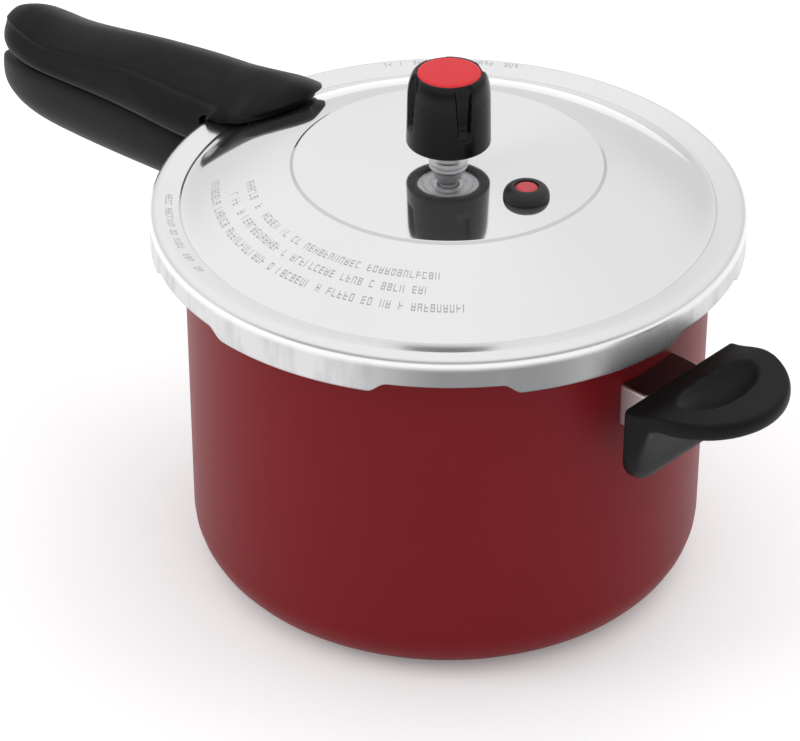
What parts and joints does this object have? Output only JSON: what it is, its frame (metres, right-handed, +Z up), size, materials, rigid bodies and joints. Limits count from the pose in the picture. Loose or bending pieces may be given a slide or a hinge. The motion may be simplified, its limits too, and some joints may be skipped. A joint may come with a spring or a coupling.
{
  "type": "stovetop pressure cooker",
  "caption": "Stovetop pressure cooker: round pot, twist-lock bayonet lid with weight regulator and safety valve, paired long handles and a short helper handle.",
  "frame": {"origin": "middle of the pot's flat base, on the surface it stands on", "axes": "+Z up the pot, long handles along -X, helper handle and safety valve along +X"},
  "size_m": [0.4445, 0.2478, 0.227],
  "materials": {
    "crimson_pot": "satin crimson coating on drawn aluminium, bare satin inside",
    "polished_aluminium": "mirror polished, brushed skirt",
    "black_phenolic": "satin moulded phenolic",
    "stamped_steel": "bright stamped sheet",
    "rivet_aluminium": "plain",
    "screw_steel": "plated",
    "insert_brass": "turned",
    "seal_silicone": "smooth translucent grey",
    "turned_steel": "lathe turned",
    "black_cap": "glossy",
    "red_plastic": "satin",
    "black_silicone": "soft sheen",
    "red_silicone": "soft sheen"
  },
  "bodies": {
    "pot": {"pot_body": "crimson_pot", "lower_handle": "black_phenolic", "lower_handle_bracket": "stamped_steel", "lower_handle_rivets": "rivet_aluminium", "lower_handle_screw": "screw_steel", "helper_handle": "black_phenolic", "helper_handle_bracket": "stamped_steel", "helper_handle_rivets": "rivet_aluminium", "helper_handle_screw": "screw_steel", "helper_handle_washer": "screw_steel"},
    "ring": {"sealing_ring": "seal_silicone"},
    "lid": {"lid_shell": "polished_aluminium", "upper_handle": "black_phenolic", "handle_spacers": "rivet_aluminium", "handle_inserts": "insert_brass", "nose_screws": "screw_steel", "nose_screw_washers": "seal_silicone", "vent_pipe": "turned_steel", "vent_pipe_seal": "seal_silicone", "vent_pipe_nut": "turned_steel", "safety_valve_grommet": "black_silicone"},
    "weight_hub": {"weight_clip": "screw_steel"},
    "weight": {"weight_cap": "black_cap", "weight_slug": "turned_steel", "weight_disc": "red_plastic"},
    "safety_plunger": {"safety_valve_button": "red_silicone", "safety_valve_retainer": "screw_steel"}
  },
  "joints": [
    {"name": "lid_lift", "type": "slide", "parent": "pot", "child": "ring", "axis": [0, 0, 1], "range_m": [0, 0.15]},
    {"name": "lid_turn", "type": "hinge", "parent": "ring", "child": "lid", "pos_m": [0, 0, 0.155], "axis": [0, 0, -1], "range_deg": [0, 30]},
    {"name": "weight_lift", "type": "slide", "parent": "lid", "child": "weight_hub", "axis": [0, 0, 1], "range_m": [0, 0.03]},
    {"name": "weight_spin", "type": "hinge", "parent": "weight_hub", "child": "weight", "pos_m": [0, 0, 0.2], "axis": [0, 0, 1], "continuous": true},
    {"name": "safety_rise", "type": "slide", "parent": "lid", "child": "safety_plunger", "axis": [0, 0, 1], "range_m": [0, 0.003]}
  ]
}
